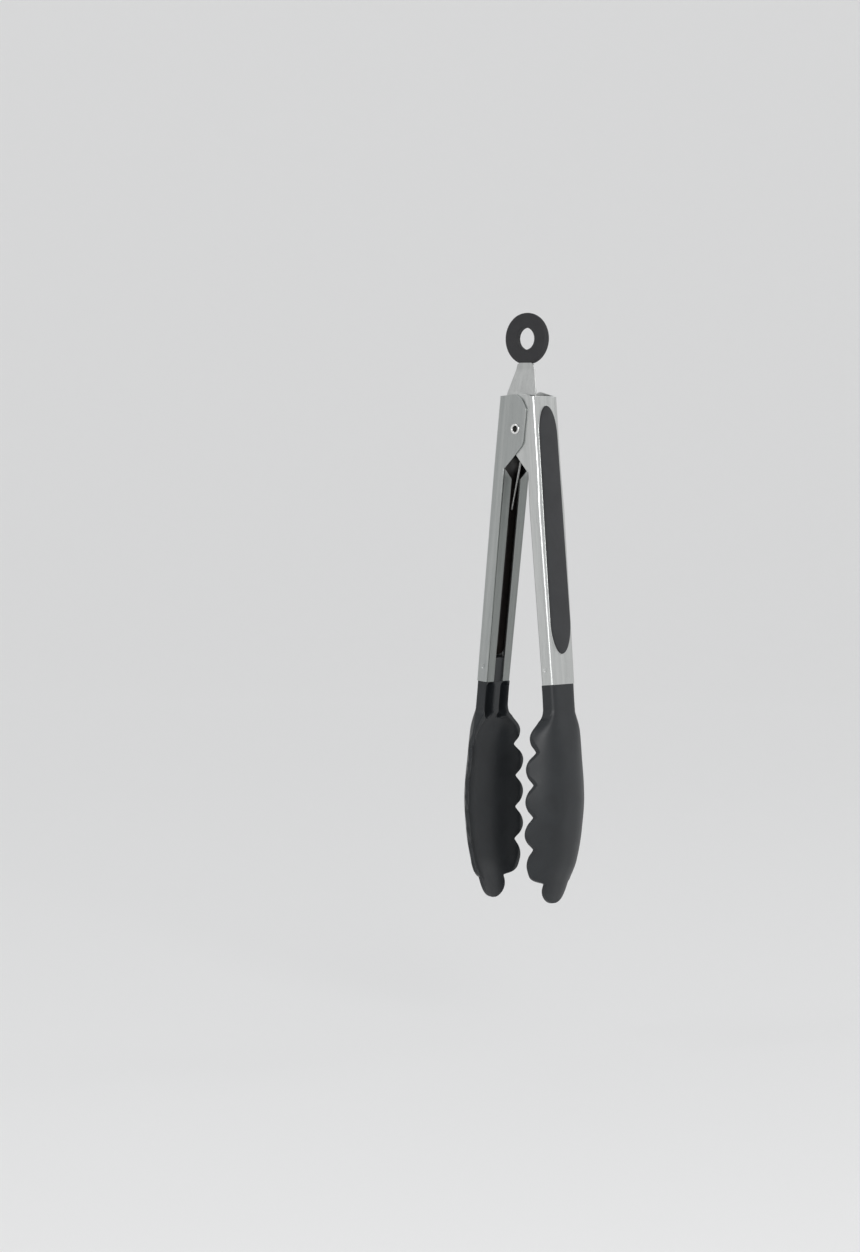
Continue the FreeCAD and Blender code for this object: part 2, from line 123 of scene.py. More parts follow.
def make_brushing():
    """Fine parallel lines from an abrasive belt, with a slower waviness under them."""
    tree, start, end = new_effect(
        "belt_brushing",
        {"Place": ("Vector", None), "Line Width": ("Float", 0.25), "Stretch": ("Float", 0.02)},
        {"Lines": "Float", "Waves": "Float"})
    along = add_node(tree, "CombineXYZ", {"X": 1.0, "Y": 1.0, "Z": start.outputs["Stretch"]})
    drawn = add_node(tree, "VectorMath", {0: start.outputs["Place"], 1: along.outputs[0]},
                     operation="MULTIPLY")
    per_metre = add_node(tree, "Math", {0: 1000.0, 1: start.outputs["Line Width"]},
                         operation="DIVIDE")
    lines = add_node(tree, "TexNoise", {"Vector": drawn.outputs[0], "Scale": per_metre.outputs[0],
                                        "Detail": 4.0, "Roughness": 0.65})
    waves = add_node(tree, "TexNoise", {"Vector": drawn.outputs[0], "Scale": 420.0, "Detail": 2.0})
    tree.links.new(lines.outputs["Fac"], end.inputs["Lines"])
    tree.links.new(waves.outputs["Fac"], end.inputs["Waves"])
    return tree


def make_handling():
    """Traces of use: soft smudges from fingers and cloth, and scattered hairline scratches."""
    tree, start, end = new_effect(
        "handling_marks",
        {"Place": ("Vector", None), "Smudge Size": ("Float", 12.0)},
        {"Smudge": "Float", "Scratch": "Float"})
    per_metre = add_node(tree, "Math", {0: 1000.0, 1: start.outputs["Smudge Size"]},
                         operation="DIVIDE")
    cloud = add_node(tree, "TexNoise", {"Vector": start.outputs["Place"],
                                        "Scale": per_metre.outputs[0], "Detail": 3.0,
                                        "Distortion": 0.6})
    smudge = add_node(tree, "MapRange", {"Value": cloud.outputs["Fac"], "From Min": 0.42,
                                         "From Max": 0.72}, interpolation_type="SMOOTHSTEP")
    bent = add_node(tree, "TexNoise", {"Vector": start.outputs["Place"], "Scale": 90.0,
                                       "Detail": 2.0})
    pulled = add_node(tree, "VectorMath", {0: bent.outputs["Color"], 1: (0.012, 0.012, 0.03)},
                      operation="MULTIPLY_ADD")
    tree.links.new(start.outputs["Place"], pulled.inputs[2])
    cells = add_node(tree, "TexVoronoi", {"Vector": pulled.outputs[0], "Scale": 130.0},
                     feature="DISTANCE_TO_EDGE")
    hair = add_node(tree, "MapRange", {"Value": cells.outputs["Distance"], "From Min": 0.012,
                                       "From Max": 0.0})
    broken = add_node(tree, "Math", {0: hair.outputs[0], 1: smudge.outputs[0]},
                      operation="MULTIPLY")
    tree.links.new(smudge.outputs[0], end.inputs["Smudge"])
    tree.links.new(broken.outputs[0], end.inputs["Scratch"])
    return tree


def make_soft_edge():
    """Edges broken by tumbling or by the mould: a rounded normal, and a mask of the edge itself,
    used to paint the edge paler as a painted highlight.
    """
    tree, start, end = new_effect("soft_edge", {"Radius": ("Float", 0.3)},
                                  {"Normal": "Vector", "Edge": "Float"})
    metres = add_node(tree, "Math", {0: start.outputs["Radius"], 1: MM}, operation="MULTIPLY")
    rounded = add_node(tree, "Bevel", {"Radius": metres.outputs[0]}, samples=6)
    face = add_node(tree, "NewGeometry")
    turned = add_node(tree, "VectorMath", {0: rounded.outputs[0], 1: face.outputs["Normal"]},
                      operation="DOT_PRODUCT")
    edge = add_node(tree, "MapRange", {"Value": turned.outputs["Value"], "From Min": 0.995,
                                       "From Max": 0.8})
    tree.links.new(rounded.outputs[0], end.inputs["Normal"])
    tree.links.new(edge.outputs[0], end.inputs["Edge"])
    return tree


def make_painted_inside_shade():
    """Mask of an arm's folded lips and its inside, where painted shade darkens the steel's colour.
    """
    tree, start, end = new_effect(
        "painted_inside_shade",
        {"Place": ("Vector", None), "Pin": ("Vector", None), "Outward": ("Vector", None)},
        {"Inside": "Float"})
    from_pin = add_node(tree, "VectorMath", {0: start.outputs["Place"], 1: start.outputs["Pin"]},
                        operation="SUBTRACT")
    depth = add_node(tree, "VectorMath", {0: from_pin.outputs[0], 1: start.outputs["Outward"]},
                     operation="DOT_PRODUCT")
    inside = add_node(tree, "MapRange", {"Value": depth.outputs["Value"],
                                         "From Min": (LIPS + 0.7) * MM,
                                         "From Max": (LIPS + 0.2) * MM},
                      interpolation_type="SMOOTHSTEP")
    below = add_node(tree, "SeparateXYZ", {"Vector": from_pin.outputs[0]})
    channel = add_node(tree, "MapRange", {"Value": below.outputs["Z"], "From Min": -0.019,
                                          "From Max": -0.022})
    folded = add_node(tree, "Math", {0: inside.outputs[0], 1: channel.outputs[0]},
                      operation="MULTIPLY")
    tree.links.new(folded.outputs[0], end.inputs["Inside"])
    return tree


BELT_BRUSHING = make_brushing()
HANDLING_MARKS = make_handling()
SOFT_EDGE = make_soft_edge()
PAINTED_INSIDE_SHADE = make_painted_inside_shade()


def new_material(name):
    """Empty material with its tree and its Principled shader."""
    made = bpy.data.materials.new(name)
    made.use_nodes = True
    return made, made.node_tree, made.node_tree.nodes["Principled BSDF"]


def mixed(tree, mask, low, high):
    """Colour that runs from low to high with a mask."""
    mix = add_node(tree, "Mix", {"Factor": mask}, data_type="RGBA")
    mix.inputs[6].default_value = (*low, 1.0)
    mix.inputs[7].default_value = (*high, 1.0)
    return mix.outputs[2]


def ranged(tree, mask, low, high):
    """Value that runs from low to high with a mask."""
    return add_node(tree, "MapRange", {"Value": mask, "To Min": low, "To Max": high}).outputs[0]


def brushed_steel(name, dark, light, rough, lean=0.0, line_width=0.25, edge=0.3, arm_side=0):
    """Stainless sheet or rod, brushed along Z in a frame that leans about Y.
    arm_side is given for an arm, whose lips and inside get painted shade."""
    made, tree, shader = new_material(name)
    place = add_node(tree, "TexCoord").outputs["Object"]
    turned = add_node(tree, "Mapping", {"Vector": place, "Rotation": (0.0, lean, 0.0)})
    brushing = use_effect(tree, BELT_BRUSHING, {"Place": turned.outputs[0],
                                                "Line Width": line_width})
    handling = use_effect(tree, HANDLING_MARKS, {"Place": turned.outputs[0]})
    corner = use_effect(tree, SOFT_EDGE, {"Radius": edge})
    tone = add_node(tree, "Math", {0: brushing.outputs["Waves"], 1: brushing.outputs["Lines"]},
                    operation="ADD")
    spread = add_node(tree, "MapRange", {"Value": tone.outputs[0], "From Min": 0.7,
                                         "From Max": 1.3})
    # Edges painted paler: a painted highlight.
    colour = add_node(tree, "Mix", {"Factor": corner.outputs["Edge"]}, data_type="RGBA")
    tree.links.new(mixed(tree, spread.outputs[0], dark, light), colour.inputs[6])
    colour.inputs[7].default_value = (*[min(1.0, c * 1.12) for c in light], 1.0)
    finish = colour.outputs[2]
    # An arm's lips and inside are painted darker: painted shade in the channel.
    if arm_side:
        outward = (arm_side * cos(REST_ANGLE), 0.0, sin(REST_ANGLE))
        folded = use_effect(tree, PAINTED_INSIDE_SHADE, {"Place": place, "Pin": tuple(PIN),
                                                  "Outward": outward})
        inside_shading = add_node(tree, "Mix", {"Factor": folded.outputs["Inside"]}, data_type="RGBA",
                           blend_type="MULTIPLY")
        tree.links.new(finish, inside_shading.inputs[6])
        inside_shading.inputs[7].default_value = INSIDE_SHADE_TONE
        finish = inside_shading.outputs[2]
    tree.links.new(finish, shader.inputs["Base Color"])
    low, high = rough
    lined = ranged(tree, brushing.outputs["Lines"], low, high)
    dulled = add_node(tree, "Math", {0: handling.outputs["Smudge"], 1: 0.06, 2: lined},
                      operation="MULTIPLY_ADD")
    tree.links.new(dulled.outputs[0], shader.inputs["Roughness"])
    shader.inputs["Metallic"].default_value = 1.0
    depth = add_node(tree, "Math", {0: handling.outputs["Scratch"], 1: -0.6,
                                    2: brushing.outputs["Lines"]}, operation="MULTIPLY_ADD")
    bump = add_node(tree, "Bump", {"Height": depth.outputs[0], "Strength": 0.35,
                                   "Distance": 0.00003, "Normal": corner.outputs["Normal"]})
    tree.links.new(bump.outputs[0], shader.inputs["Normal"])
    return made


def give(piece, *materials):
    """Put materials on a piece in place of whatever it has."""
    piece.data.materials.clear()
    for material in materials:
        piece.data.materials.append(material)


def arm_point(side, x, y, z):
    """Place in the row frame of a point in an arm's own frame: outward, across, along, in mm."""
    across = side * (x * cos(REST_ANGLE) - z * sin(REST_ANGLE))
    up = x * sin(REST_ANGLE) + z * cos(REST_ANGLE)
    return PIN + Vector((across, y, up)) * MM


# The outer arm is given a darker tone than the inner: painted shade, one steel in a shaded and a lit
# copy.
LIT_AND_SHADED_ARM_TONES = {"outer": ((0.38, 0.40, 0.395), (0.50, 0.515, 0.505)),
               "inner": ((0.55, 0.565, 0.555), (0.71, 0.72, 0.71))}
# How much painted shade darkens an arm's lips and inside.
INSIDE_SHADE_TONE = (0.62, 0.63, 0.62, 1.0)
ARM_STEEL = {}
for arm, side in ARMS:
    ARM_STEEL[arm] = brushed_steel(arm + "_arm_steel", *LIT_AND_SHADED_ARM_TONES[arm], (0.22, 0.36),
                                   lean=side * REST_ANGLE, arm_side=side)
    give(nodes[arm + "_arm"], ARM_STEEL[arm])

# ---------------------------------------------------------------------------
# Grip pads
# Soft charcoal rubber, moulded as a long pill with pointed oval ends and pressed
# through a window in the arm's back. The window's edge is curled up into a fine
# bright bead round the pad.
# ---------------------------------------------------------------------------

PAD_TOP, PAD_BOTTOM = 9.6, -103.2
PAD_HALF_TOP, PAD_HALF_BOTTOM = 6.6, 7.3
PAD_END_STRETCH = 2.1                     # how much longer than round the ends are
PAD_PROUD = 0.9
PAD_STEPS = 16                            # points on each quarter end, and on each long side
BEAD_R = 0.26


def pad_side(inset):
    """Right side of the pad's outline from its top to its bottom, as (half width, height)."""
    top, bottom = PAD_TOP - inset, PAD_BOTTOM + inset
    upper, lower = PAD_HALF_TOP - inset, PAD_HALF_BOTTOM - inset
    top_reach = PAD_HALF_TOP * PAD_END_STRETCH - inset
    bottom_reach = PAD_HALF_BOTTOM * PAD_END_STRETCH - inset
    points = []
    for i in range(PAD_STEPS):
        turn = pi / 2 * i / PAD_STEPS
        points.append((upper * sin(turn), top - top_reach + top_reach * cos(turn)))
    start, stop = top - top_reach, bottom + bottom_reach
    for i in range(PAD_STEPS):
        t = i / PAD_STEPS
        points.append((upper + (lower - upper) * t, start + (stop - start) * t))
    for i in range(PAD_STEPS + 1):
        turn = pi / 2 * i / PAD_STEPS
        points.append((lower * cos(turn), stop - bottom_reach * sin(turn)))
    return points


def closed_side(points):
    """The whole outline from its right side: down on the right and up on the left."""
    return points + [(-y, z) for y, z in reversed(points[1:-1])]


def finish_mesh(name, bm, levels=1):
    """Turn a bmesh into a smooth object with a subdivision surface."""
    bmesh.ops.recalc_face_normals(bm, faces=bm.faces)
    for face in bm.faces:
        face.smooth = True
    mesh = bpy.data.meshes.new(name)
    bm.to_mesh(mesh)
    bm.free()
    made = bpy.data.objects.new(name, mesh)
    bpy.context.scene.collection.objects.link(made)
    if levels:
        skin = made.modifiers.new("skin", "SUBSURF")
        skin.levels = skin.render_levels = levels
    return made


def join_loops(bm, loops):
    """Skin closed loops of vertices with quads, and give the faces row by row."""
    rows = []
    for first, second in zip(loops, loops[1:]):
        count = len(first)
        row = []
        for i in range(count):
            k = (i + 1) % count
            row.append(bm.faces.new((first[i], first[k], second[k], second[i])))
        rows.append(row)
    return rows


def make_pad(name, side):
    """Pad with a straight foot in the window, a soft shoulder and a low crown."""
    bm = bmesh.new()
    # inset from the outline and height above the steel, from the foot to near the middle
    profile = ((0.02, -SHEET), (0.02, 0.1), (0.04, 0.35), (0.18, 0.58), (0.45, 0.71),
               (1.1, 0.78), (2.4, 0.83), (4.2, 0.87), (6.0, PAD_PROUD))
    loops = []
    for inset, height in profile:
        outline = closed_side(pad_side(inset))
        loops.append([bm.verts.new(arm_point(side, BACK + height, y, z)) for y, z in outline])
    join_loops(bm, loops)
    for ring in (loops[0], loops[-1]):
        count = len(ring)
        for i in range(count // 2):
            across = [ring[i], ring[i + 1], ring[(count - i - 1) % count], ring[(count - i) % count]]
            bm.faces.new(list(dict.fromkeys(across)))
    return finish_mesh(name, bm)


def sweep(bm, path, radius, sides, closed=False):
    """Round bar along a path of points."""
    count = len(path)
    loops = []
    normal = None
    for i, point in enumerate(path):
        before = path[i - 1] if closed or i > 0 else point
        after = path[(i + 1) % count] if closed or i < count - 1 else point
        along = (after - before).normalized()
        if normal is None:
            normal = along.orthogonal().normalized()
        normal = (normal - along * normal.dot(along)).normalized()
        other = along.cross(normal)
        ring = []
        for k in range(sides):
            turn = tau * k / sides
            ring.append(bm.verts.new(point + (normal * cos(turn) + other * sin(turn)) * radius))
        loops.append(ring)
    join_loops(bm, loops)
    if closed:
        first, last = loops[0], loops[-1]
        shift = min(range(sides), key=lambda s: (last[0].co - first[s].co).length)
        join_loops(bm, [last, first[shift:] + first[:shift]])
    else:
        bm.faces.new(loops[0])
        bm.faces.new(loops[-1])


def make_bead(name, side):
    """Curled edge of the window, a fine bead that follows the pad's outline."""
    bm = bmesh.new()
    path = [arm_point(side, BACK, y, z) for y, z in closed_side(pad_side(-BEAD_R))]
    sweep(bm, path, BEAD_R * MM, closed=True, sides=8)
    return finish_mesh(name, bm)


def make_moulded_skin():
    """Surface off a spark-eroded mould: even fine grain, with slow flow marks under it."""
    tree, start, end = new_effect(
        "moulded_skin", {"Place": ("Vector", None), "Grain": ("Float", 0.3)},
        {"Grain": "Float", "Flow": "Float"})
    per_metre = add_node(tree, "Math", {0: 1000.0, 1: start.outputs["Grain"]}, operation="DIVIDE")
    grain = add_node(tree, "TexNoise", {"Vector": start.outputs["Place"],
                                        "Scale": per_metre.outputs[0], "Detail": 3.0,
                                        "Roughness": 0.6})
    flow = add_node(tree, "TexNoise", {"Vector": start.outputs["Place"], "Scale": 75.0,
                                       "Detail": 2.0, "Distortion": 1.2})
    tree.links.new(grain.outputs["Fac"], end.inputs["Grain"])
    tree.links.new(flow.outputs["Fac"], end.inputs["Flow"])
    return tree


MOULDED_SKIN = make_moulded_skin()
MOULD_EDGE = 0.25                         # radius that a mould leaves on its edges


def moulded(name, dark, light, rough, grain, grain_depth, painted_edge_highlight=1.6, marks=0.05):
    """Moulded rubber or plastic with its grain, its flow marks and its edges painted paler, a
    painted highlight.
    """
    made, tree, shader = new_material(name)
    place = add_node(tree, "TexCoord").outputs["Object"]
    skin = use_effect(tree, MOULDED_SKIN, {"Place": place, "Grain": grain})
    handling = use_effect(tree, HANDLING_MARKS, {"Place": place, "Smudge Size": 16.0})
    corner = use_effect(tree, SOFT_EDGE, {"Radius": MOULD_EDGE})
    tone = add_node(tree, "Math", {0: skin.outputs["Grain"], 1: skin.outputs["Flow"]},
                    operation="ADD")
    spread = add_node(tree, "MapRange", {"Value": tone.outputs[0], "From Min": 0.75,
                                         "From Max": 1.3})
    colour = add_node(tree, "Mix", {"Factor": corner.outputs["Edge"]}, data_type="RGBA")
    tree.links.new(mixed(tree, spread.outputs[0], dark, light), colour.inputs[6])
    colour.inputs[7].default_value = (*[c * painted_edge_highlight for c in light], 1.0)
    tree.links.new(colour.outputs[2], shader.inputs["Base Color"])
    low, high = rough
    base = ranged(tree, skin.outputs["Flow"], low, high)
    dulled = add_node(tree, "Math", {0: handling.outputs["Smudge"], 1: marks, 2: base},
                      operation="MULTIPLY_ADD")
    tree.links.new(dulled.outputs[0], shader.inputs["Roughness"])
    shader.inputs["IOR"].default_value = 1.5
    bump = add_node(tree, "Bump", {"Height": skin.outputs["Grain"], "Strength": 0.4,
                                   "Distance": grain_depth, "Normal": corner.outputs["Normal"]})
    tree.links.new(bump.outputs[0], shader.inputs["Normal"])
    return made


GRIP_RUBBER = moulded("grip_rubber", (0.020, 0.021, 0.023), (0.032, 0.033, 0.036), (0.66, 0.78),
                      grain=0.28, grain_depth=0.00005)
GRIP_RUBBER.node_tree.nodes["Principled BSDF"].inputs["Sheen Weight"].default_value = 0.08

for arm, side in ARMS:
    pad = make_pad(arm + "_grip_pad", side)
    give(pad, GRIP_RUBBER)
    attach(pad, arm + "_arm")
    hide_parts(arm + "_grip")
    bead = make_bead(arm + "_window_bead", side)
    give(bead, ARM_STEEL[arm])
    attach(bead, arm + "_arm")

# ---------------------------------------------------------------------------
# Grip backings
# Hard black plastic plates with a stiffening rib, inside each channel. The pad
# is moulded to its plate, and the plate's snap edge holds it in the window.
# ---------------------------------------------------------------------------

BACKING_PLASTIC = moulded("backing_plastic", (0.011, 0.0095, 0.009), (0.019, 0.016, 0.0145),
                          (0.26, 0.4), grain=0.5, grain_depth=0.00001)
for arm, side in ARMS:
    give(nodes[arm + "_grip_backing"], BACKING_PLASTIC)

# ---------------------------------------------------------------------------
# Heads
# Each is one piece of black nylon: a long scalloped bowl with a satin outside and
# a polished inside, a neck cored with two pockets, and a stem that slides into
# the channel and is held there by two dimples pressed in the steel.
# The inside is also painted darker than the outside: painted shade.
# ---------------------------------------------------------------------------

STEM_TOP = -106.0
FIT = 0.05
HEAD_TIP = -216.5
# height from the pin, back, rim, half width and squareness of the bowl's sections
HEAD_SECTIONS = (
    (CHANNEL_END, 10.8, 4.6, 8.8, 1.0),
    (-128.0, 10.8, 4.5, 8.9, 0.9),
    (-139.8, 11.4, 2.4, 17.3, 0.25),
    (-154.4, 11.7, 1.5, 20.5, 0.0),
    (-169.0, 11.1, 0.7, 21.4, 0.0),
    (-183.6, 8.9, -1.4, 20.8, 0.0),
    (-198.2, 5.4, -3.5, 18.2, 0.0),
    (-207.0, 1.2, -4.4, 14.0, 0.0),
    (HEAD_TIP, -2.8, -5.3, 9.5, 0.0),
)
SQUARENESS = 7.0                          # how sharp the neck's corners are
FULLNESS = 2.6                            # how full the bowl's curve is
WALL = 1.6
HOLLOW_TOP, RAMP_END, RAMP_THICK = -131.0, -148.0, 5.2
SCALLOP_DEEP = 3.7
NECK_ARC = ((9.1, -128.8), (9.75, -131.4), (11.6, -133.2))
NOSE_ROOT = (8.2, -207.0)
RIM_EDGE = 0.95                           # thickness left at the thinnest rim
RIM_SOFT = 0.3                            # how far in the rim's rounding starts
POCKET_MIDDLE = (5.2, -125.8)
POCKET_HALF = (2.8, 8.2)
POCKET_CORNER = 2.4
POCKET_SLOPE = 0.45
POCKET_FLOOR = BACK - WALL


def section_at(z):
    """Back, rim, half width and squareness at a height, on a smooth curve through the sections."""
    rows = HEAD_SECTIONS
    last = len(rows) - 1
    i = max(k for k in range(last) if z <= rows[k][0] + 1e-9)
    step = rows[i + 1][0] - rows[i][0]
    t = (z - rows[i][0]) / step
    values = []
    for column in range(1, len(rows[0])):
        slopes = []
        for k in (i, i + 1):
            low, high = rows[max(k - 1, 0)], rows[min(k + 1, last)]
            if k in (0, last):
                slopes.append((high[column] - low[column]) / (high[0] - low[0]))
                continue
            left = (rows[k][column] - low[column]) / (rows[k][0] - low[0])
            right = (high[column] - rows[k][column]) / (high[0] - rows[k][0])
            slopes.append(2 * left * right / (left + right) if left * right > 0 else 0.0)
        values.append((1 + 2 * t) * (1 - t) ** 2 * rows[i][column]
                      + t * (1 - t) ** 2 * step * slopes[0]
                      + t * t * (3 - 2 * t) * rows[i + 1][column]
                      + t * t * (t - 1) * step * slopes[1])
    return values


def skin_point(t, section):
    """Outward place and width of the section's skin, t running from 0 at its middle to 1."""
    back, rim, half, square = section
    turn = min(t, 1.0) * pi / 2
    box_y = sin(turn) ** (2 / SQUARENESS)
    box_x = max(cos(turn), 0.0) ** (2 / SQUARENESS)
    x = rim + (back - rim) * (square * box_x + (1 - square) * (1 - t ** FULLNESS))
    return x, half * (square * box_y + (1 - square) * t)


SKIN_HALVINGS = 24                        # bisection steps, far finer than the mesh


def skin_turn(width, section):
    """The t at which the section's skin reaches a width."""
    low, high = 0.0, 1.0
    if width >= skin_point(1.0, section)[1]:
        return 1.0
    for _ in range(SKIN_HALVINGS):
        middle = (low + high) / 2
        if skin_point(middle, section)[1] < width:
            low = middle
        else:
            high = middle
    return (low + high) / 2


def arc_width(points, z):
    """Half width at a height on the arc through three points of (half width, height)."""
    (ax, ay), (bx, by), (cx, cy) = points
    cross = 2 * (ax * (by - cy) + bx * (cy - ay) + cx * (ay - by))
    middle_x = ((ax * ax + ay * ay) * (by - cy) + (bx * bx + by * by) * (cy - ay)
                + (cx * cx + cy * cy) * (ay - by)) / cross
    middle_y = ((ax * ax + ay * ay) * (cx - bx) + (bx * bx + by * by) * (ax - cx)
                + (cx * cx + cy * cy) * (bx - ax)) / cross
    radius = hypot(ax - middle_x, ay - middle_y)
    reach = sqrt(max(radius * radius - (z - middle_y) ** 2, 0.0))
    return middle_x + reach if bx > middle_x else middle_x - reach


scallop_tips = [(row[3], row[0]) for row in HEAD_SECTIONS[2:7]]
scallop_valleys = []
for (_, upper_z), (_, lower_z) in zip(scallop_tips, scallop_tips[1:]):
    middle_z = (upper_z + lower_z) / 2
    scallop_valleys.append((section_at(middle_z)[2] - SCALLOP_DEEP, middle_z))
scallop_joints = [NECK_ARC[2]] + scallop_valleys + [NOSE_ROOT]
SCALLOPS = list(zip(scallop_joints, scallop_tips, scallop_joints[1:]))


def scallop_width(scallop, z):
    """Half width at a height on one scallop, a wave with a broad tip, steep down to the nose."""
    start, tip, stop = scallop
    low_y, low_z = start if z > tip[1] else stop
    along = (z - tip[1]) / (low_z - tip[1])
    turn = along * pi / 2
    fall = (1 - cos(turn) + sin(turn) ** 2) / 2
    if (low_y, low_z) == NOSE_ROOT:
        fall = along ** 3
    return tip[0] + (low_y - tip[0]) * fall


def outline_width(z):
    """Half width of the head's outline: neck, flare, five scallops and the round nose."""
    if z >= NECK_ARC[0][1]:
        return NECK_ARC[0][0]
    if z >= NECK_ARC[2][1]:
        return arc_width(NECK_ARC, z)
    for scallop in SCALLOPS:
        if z >= scallop[2][1]:
            return scallop_width(scallop, z)
    (root, root_z), tip_z = NOSE_ROOT, HEAD_TIP
    radius = (root * root + (root_z - tip_z) ** 2) / (2 * (root_z - tip_z))
    return sqrt(max(radius * radius - (z - tip_z - radius) ** 2, 0.0))


def eased(value):
    """Smooth step from 0 to 1."""
    value = min(max(value, 0.0), 1.0)
    return value * value * (3 - 2 * value)


def pocket_share(y, z):
    """1 in a neck pocket and 0 outside, with a moulded slope between."""
    past_y = abs(abs(y) - POCKET_MIDDLE[0]) - POCKET_HALF[0] + POCKET_CORNER
    past_z = abs(z - POCKET_MIDDLE[1]) - POCKET_HALF[1] + POCKET_CORNER
    distance = hypot(max(past_y, 0.0), max(past_z, 0.0)) + min(max(past_y, past_z), 0.0)
    return eased((POCKET_CORNER + POCKET_SLOPE - distance) / (2 * POCKET_SLOPE))


def softly_over(value, floor, soft):
    """The larger of two values, with the corner between them rounded off."""
    gap = value - floor
    return (value + floor + sqrt(gap * gap + soft * soft)) / 2


RAMP_NARROWING = 0.6                      # how much the hollow narrows for its depth
HOLLOW_SOFT = 0.35                        # rounding where the hollow meets the rim


def inside_face(y, z, section):
    """Outward place of the head's inner face: flat in the neck, then hollowed as a bowl."""
    back, rim, half, square = section
    face = rim
    if z < HOLLOW_TOP:
        rise = max(0.0, (z - RAMP_END) / (HOLLOW_TOP - RAMP_END))
        sink = WALL + RAMP_THICK * rise * rise
        inner = (back, rim, half - RAMP_NARROWING * sink, square)
        if abs(y) < inner[2]:
            hollow = skin_point(skin_turn(abs(y), inner), inner)[0] - sink
            face = softly_over(hollow, rim, HOLLOW_SOFT)
    return face + (POCKET_FLOOR - face) * pocket_share(y, z)


SIDE_WALL_TOP, SIDE_WALL_END = -128.5, -141.0   # where the neck's side wall runs out into the rim
RIDGE_SOFT = 0.25
CORNER_ROUND = 1.3                        # depth of the neck's rounded back corners


def side_wall(z):
    """Height of the wall under the outer ridge: the neck's whole side, then the rim's edge."""
    full = BACK - LIPS - CORNER_ROUND
    share = eased((z - SIDE_WALL_END) / (SIDE_WALL_TOP - SIDE_WALL_END))
    return RIM_EDGE + (full - RIM_EDGE) * share


BACK_STEPS = 30
FRONT_STEPS = 56
LAST_BACK_STEP = 0.985                    # an extra point beside the outer ridge, to keep it crisp
WALL_POINTS = (0.7, 0.3)                  # heights of the points on the side wall, as shares
SOFT_SHARE = 0.15                         # most of the half width that the rim's rounding takes


def head_loop(z, section, width, face):
    """One closed section of the head, from the middle of its back all the way round."""
    end = skin_turn(width, section)
    width = min(width, skin_point(1.0, section)[1])
    foot = face(width, z)
    ridge = min(foot + side_wall(z), section[0])
    soft = min(RIM_SOFT, width * SOFT_SHARE)
    half_back = []
    for i in range(BACK_STEPS // 2 + 1):
        half_back.append(end * i / (BACK_STEPS // 2 + 1))
    half_back += [end * LAST_BACK_STEP, end]
    side = []
    for t in half_back:
        x, y = skin_point(t, section)
        side.append((softly_over(x, ridge, RIDGE_SOFT * t), y))
    top = side[-1][0]
    side += [(foot + (top - foot) * share, width) for share in WALL_POINTS]
    span = width - 3 * soft
    fronts = [width, width - soft]
    for i in range(FRONT_STEPS // 2):
        fronts.append(span * (1 - i / (FRONT_STEPS / 2)))
    side += [(face(y, z), y) for y in fronts]
    middle = (face(0.0, z), 0.0)
    left = [(x, -y) for x, y in reversed(side[1:])]
    return side + [middle] + left


MOUTH_DROPS = (0.04, 0.2, 0.6)            # first sections, below the end of the channel
NECK_STEP = 0.38
SCALLOP_STEP = 0.9
VALLEY_CROWDING = 0.7
NOSE_STEPS = 15
NOSE_END = 0.965                          # share of the half turn where the nose's mesh is closed


def head_heights():
    """Heights of the sections: close in the neck and at each valley, then round the nose."""
    heights = [CHANNEL_END - drop for drop in MOUTH_DROPS]
    while heights[-1] > NECK_ARC[2][1]:
        heights.append(heights[-1] - NECK_STEP)
    heights[-1] = NECK_ARC[2][1]
    for start, tip, stop in SCALLOPS:
        count = ceil((start[1] - stop[1]) / SCALLOP_STEP)
        for i in range(1, count + 1):
            t = i / count
            crowded = t - sin(tau * t) / tau * VALLEY_CROWDING
            heights.append(start[1] + (stop[1] - start[1]) * crowded)
    radius = (NOSE_ROOT[0] ** 2 + (NOSE_ROOT[1] - HEAD_TIP) ** 2) / (2 * (NOSE_ROOT[1] - HEAD_TIP))
    first = acos(min(1.0, (NOSE_ROOT[1] - HEAD_TIP - radius) / radius))
    for i in range(1, NOSE_STEPS + 1):
        turn = first + (pi * NOSE_END - first) * i / NOSE_STEPS
        heights.append(HEAD_TIP + radius + radius * cos(turn))
    return heights


def make_head(name, side):
    """Skin the stem's, neck's and bowl's sections into one closed mesh."""
    bm = bmesh.new()
    loops = []
    inner_front = LIPS + SHEET + FIT
    for z in (STEM_TOP, STEM_TOP - 0.3, STEM_TOP - 3.0, CHANNEL_END + 2.0, CHANNEL_END + 0.3,
              CHANNEL_END):
        (high_z, high), (low_z, low) = ARM_HALF_HIGH, ARM_HALF_LOW
        half = high + (low - high) * (z - high_z) / (low_z - high_z) - SHEET - FIT
        section = (BACK - SHEET - FIT, inner_front, half, 1.0)
        loops.append((z, head_loop(z, section, half, lambda y, z: inner_front)))
    for z in head_heights():
        section = section_at(z)
        loops.append((z, head_loop(z, section, outline_width(z),
                                   lambda y, z, s=section: inside_face(y, z, s))))
    rings = [[bm.verts.new(arm_point(side, x, y, z)) for x, y in loop] for z, loop in loops]
    outside = BACK_STEPS // 2 + 5
    for row in join_loops(bm, rings):
        for i, face in enumerate(row):
            inner = outside <= i < len(row) - outside
            face.material_index = 1 if inner else 0
    bm.faces.new(rings[0])
    bm.faces.new(rings[-1])
    return finish_mesh(name, bm)


NYLON_SATIN = moulded("nylon_satin", (0.0095, 0.0115, 0.0135), (0.016, 0.019, 0.022),
                      (0.38, 0.48), grain=0.35, grain_depth=0.00002, painted_edge_highlight=1.8)
